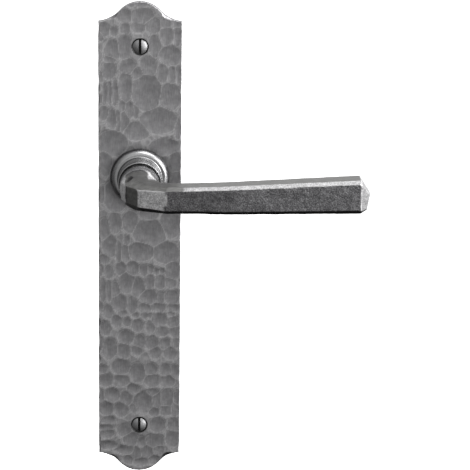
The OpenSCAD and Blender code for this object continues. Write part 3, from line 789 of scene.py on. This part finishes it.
# Pieces that keep the CAD's own shape, with the width of their broken edges in millimetres.
KEPT = {
    "root": {"front_bush": 0.1, "rear_cover": 0.15, "rear_bush": 0.15, "cover_screws": 0.06,
             "stop_pins": 0.1},
    "lever": {"hub": 0.12, "drive_ring": 0.1, "neck_washer": 0.05, "thrust_washer": 0.05,
              "circlip": 0.06, "grub_screw": 0.06, "neck_pin": 0.1, "spindle": 0.25},
}


def dressed(node, bevel, body=None):
    """A CAD node's own shape, welded and with its sharp edges slightly broken. With no body, it is left
    where it is, on no body.
    """
    mesh = frame["nodes"][node].data.copy()
    clean = bmesh.new()
    clean.from_mesh(mesh)
    bmesh.ops.remove_doubles(clean, verts=clean.verts, dist=1e-6)
    bmesh.ops.dissolve_limit(clean, angle_limit=math.radians(1), verts=clean.verts, edges=clean.edges)
    clean.to_mesh(mesh)
    clean.free()
    if bevel:
        work = bpy.data.objects.new("work", mesh)
        scene.collection.objects.link(work)
        edge = work.modifiers.new("edge", "BEVEL")
        edge.width = bevel * MM
        edge.segments = 2
        edge.limit_method = "ANGLE"
        edge.angle_limit = math.radians(40)
        edge.use_clamp_overlap = True
        mesh = applied(work)
    slot = SLOTS[node]
    obj = new_object("finished_" + node, mesh, MATERIALS[slot])
    mark_sharp(mesh, 35)
    if body:
        return stand_in(obj, body, slot, node)
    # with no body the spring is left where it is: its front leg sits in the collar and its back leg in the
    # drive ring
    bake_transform(obj)
    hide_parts(node)
    return obj


def make_wave_washer():
    """A thin spring washer with three waves between the thrust washer and the clip."""
    low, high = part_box("wave_washer")
    inner, outer = 6.3 * MM, high.x
    middle, swing, half = (low.y + high.y) / 2, 0.1 * MM, 0.14 * MM
    waves = 3
    steps = 144
    points = []
    for r, side in ((inner, -half), (outer, -half), (outer, half), (inner, half)):
        for k in range(steps):
            a = 2 * math.pi * k / steps
            points.append((r * math.cos(a), middle + side + swing * math.cos(waves * a), r * math.sin(a)))
    faces = []
    for i in range(4):
        j = (i + 1) % 4
        for k in range(steps):
            l = (k + 1) % steps
            faces.append((i * steps + k, i * steps + l, j * steps + l, j * steps + k))
    mesh = mesh_from("wave_washer", points, faces)
    face_outwards(mesh)
    washer = new_object("wavy_washer", mesh, MATERIALS[SLOTS["wave_washer"]])
    mark_sharp(mesh, 40)
    return stand_in(washer, "lever", SLOTS["wave_washer"], "wave_washer")


def make_fixing_screw(node):
    """Raised-head wood screw: the CAD head with its slot, and a true helical thread."""
    low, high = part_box(node)
    height = screw_height(node)
    head_back = PLATE_FACE / MM + 0.5
    neck_r, shank_r, core_r = 1.8, 2.1, 1.45
    head_r = (high.x - low.x) / 2 / MM
    dome = -low.y / MM + PLATE_FACE / MM + 0.5
    pitch = 2.2
    end = high.y / MM
    sides = 40
    dome_r = (head_r**2 + dome**2) / (2 * dome)
    rings = []
    for i in range(9):
        r = head_r * math.sin(math.pi / 2 * (i + 0.15) / 8.15)
        rings.append((r, head_back - dome + dome_r - math.sqrt(dome_r**2 - r * r)))
    rings += [(head_r, head_back), (head_r - 0.06, head_back + 0.08)]
    rings += [(neck_r, head_back + head_r - neck_r), (neck_r, -0.02), (shank_r, 0), (shank_r, 9.6)]
    points = [(r * math.cos(2 * math.pi * k / sides), y, r * math.sin(2 * math.pi * k / sides))
              for r, y in rings for k in range(sides)]
    steps = 110
    for i in range(steps + 1):
        y = 9.8 + (end - 0.05 - 9.8) * i / steps
        taper = min(1, (end - y) / 5.5)
        grow = min(1, (y - 9.8) / 2.5)
        for k in range(sides):
            turn = (y / pitch - k / sides) % 1
            tooth = max(0, 1 - abs(turn - 0.5) / 0.32)
            base = shank_r + (core_r - shank_r) * grow
            r = (base + (shank_r - base) * tooth) * taper ** 0.8
            a = 2 * math.pi * k / sides
            points.append((max(r, 0.05) * math.cos(a), y, max(r, 0.05) * math.sin(a)))
    rows = len(rings) + steps + 1
    faces = [tuple(range(sides - 1, -1, -1))]
    for i in range(rows - 1):
        for k in range(sides):
            l = (k + 1) % sides
            faces.append((i * sides + k, i * sides + l, (i + 1) * sides + l, (i + 1) * sides + k))
    faces.append(tuple((rows - 1) * sides + k for k in range(sides)))
    mesh = mesh_from("screw", [tuple(c * MM for c in p) for p in points], faces)
    face_outwards(mesh)
    work = bpy.data.objects.new("work", mesh)
    scene.collection.objects.link(work)
    cutter = slot_cutter(head_r, head_back - dome)
    cut = work.modifiers.new("slot", "BOOLEAN")
    cut.operation = "DIFFERENCE"
    cut.solver = "EXACT"
    cut.object = cutter
    mesh = applied(work)
    bpy.data.objects.remove(cutter)
    face_outwards(mesh)
    co = coordinates(mesh) / MM
    # painted shade on the floor of the driver slot
    in_slot = (abs(co[:, 0]) < 0.66) & (abs(co[:, 1] - (head_back - dome + 1.4)) < 0.02)
    set_attribute(mesh, "shade_and_dirt", np.where(in_slot, 1.0, 0.0))
    mesh.transform(Matrix.Translation((0, 0, height)))
    screw = new_object("wood_screw_" + node.split("_")[0], mesh, MATERIALS["screw_steel"])
    mark_sharp(mesh, 38)
    return stand_in(screw, "root", "screw_steel", node)


def slot_cutter(head_r, top):
    """A bar as wide and deep as the driver slot, upright across the head."""
    half_w, depth, long = 0.65, 1.4, head_r + 1
    mesh = bpy.data.meshes.new("cutter")
    cutter = bmesh.new()
    bmesh.ops.create_cube(cutter, size=1)
    bmesh.ops.scale(cutter, vec=(2 * half_w * MM, 2 * depth * MM, 2 * long * MM), verts=cutter.verts)
    cutter.to_mesh(mesh)
    cutter.free()
    mesh.transform(Matrix.Translation((0, top * MM, 0)))
    obj = bpy.data.objects.new("cutter", mesh)
    scene.collection.objects.link(obj)
    return obj


# ---------------------------------------------------------------- stage, light and camera

def emitter(name, place, aim, size, power):
    """A rectangular white lamp."""
    data = bpy.data.lights.new(name, "AREA")
    data.shape = "RECTANGLE"
    data.size, data.size_y = size
    data.energy = power
    light = bpy.data.objects.new(name, data)
    scene.collection.objects.link(light)
    light.location = place
    light.rotation_mode = "QUATERNION"
    light.rotation_quaternion = (Vector(aim) - Vector(place)).to_track_quat("-Z", "Y")
    return light


def make_stage():
    """A plain pale floor well below the handle, and soft studio light from above and the right."""
    depth = -0.6
    size = 6
    mesh = mesh_from("floor", [(-size, -size, depth), (size, -size, depth), (size, size, depth),
                               (-size, size, depth)], [(0, 1, 2, 3)])
    floor = Shader("floor", metallic=0.0)
    floor.base.inputs["Emission Color"].default_value = (1, 1, 1, 1)
    floor.base.inputs["Emission Strength"].default_value = 1.0
    obj = new_object("floor", mesh, floor.set((0.9, 0.9, 0.9), 0.8), smooth=False)
    obj.visible_glossy = False
    obj.visible_diffuse = False
    centre = (0.02, -0.03, -0.03)
    emitter("top", (0.35, -0.25, 0.95), centre, (0.7, 0.5), 5)
    emitter("right", (0.85, -0.45, 0.2), centre, (0.6, 0.8), 10)
    light_world()


def light_world():
    """Soft light all round: dark below, brightest above and to the right, weaker on the left."""
    world = bpy.data.worlds.new("studio")
    world.use_nodes = True
    scene.world = world
    tree = world.node_tree
    back = tree.nodes["Background"]
    back.inputs["Color"].default_value = (1, 1, 1, 1)
    way = tree.nodes.new("ShaderNodeSeparateXYZ")
    tree.links.new(tree.nodes.new("ShaderNodeTexCoord").outputs["Generated"], way.inputs[0])

    def ramp(axis, low, high, out_low, out_high):
        node = tree.nodes.new("ShaderNodeMapRange")
        node.interpolation_type = "SMOOTHSTEP"
        values = (("From Min", low), ("From Max", high), ("To Min", out_low), ("To Max", out_high))
        for name, value in values:
            node.inputs[name].default_value = value
        tree.links.new(way.outputs[axis], node.inputs["Value"])
        return node.outputs[0]

    def joined(operation, a, b):
        node = tree.nodes.new("ShaderNodeMath")
        node.operation = operation
        tree.links.new(a, node.inputs[0])
        tree.links.new(b, node.inputs[1])
        return node.outputs[0]

    height = joined("ADD", ramp(2, -0.85, -0.1, 0, 0.5), ramp(2, -0.05, 0.3, 0, 0.35))
    side = joined("MULTIPLY", ramp(0, -1, -0.1, 0.3, 1), ramp(0, 0.3, 0.9, 1, 1.8))
    tree.links.new(joined("MULTIPLY", height, side), back.inputs["Strength"])


def make_camera():
    """In front of the plate and above it, with the plate left of the middle of the view."""
    centre = Vector((0, PLATE_FACE, (PLATE_LOW.z + PLATE_HIGH.z) / 2))
    elevation, turn = math.radians(15), math.radians(-2.439)
    lift, lean = math.radians(0.199), math.radians(0.757)
    distance = 1.186
    data = bpy.data.cameras.new("camera")
    camera = bpy.data.objects.new("camera", data)
    scene.collection.objects.link(camera)
    data.sensor_width = 36
    data.lens = 177.4
    data.clip_start, data.clip_end = 0.1, 20
    camera.location = centre + distance * Vector((0, -math.cos(elevation), math.sin(elevation)))
    pan = Matrix.Rotation(turn, 3, "Z")
    tilt = Matrix.Rotation(math.pi / 2 - elevation + lift, 3, "X")
    roll = Matrix.Rotation(lean, 3, "Z")
    camera.rotation_mode = "QUATERNION"
    camera.rotation_quaternion = (pan @ tilt @ roll).to_quaternion()
    scene.camera = camera


def finish_cad_nodes():
    """Every CAD node gets its slot's material too."""
    for name, slot in SLOTS.items():
        node = frame["nodes"][name]
        node.data.materials.clear()
        node.data.materials.append(MATERIALS[slot])


make_camera()
make_stage()
finish_cad_nodes()
make_backplate()
make_lever()
make_collar()
for screw_node in SCREWS:
    make_fixing_screw(screw_node)
for kept_body, kept_nodes in KEPT.items():
    for kept_node, broken_edge in kept_nodes.items():
        dressed(kept_node, broken_edge, kept_body)
dressed("return_spring", 0)
make_wave_washer()
scene.view_settings.view_transform = "Standard"
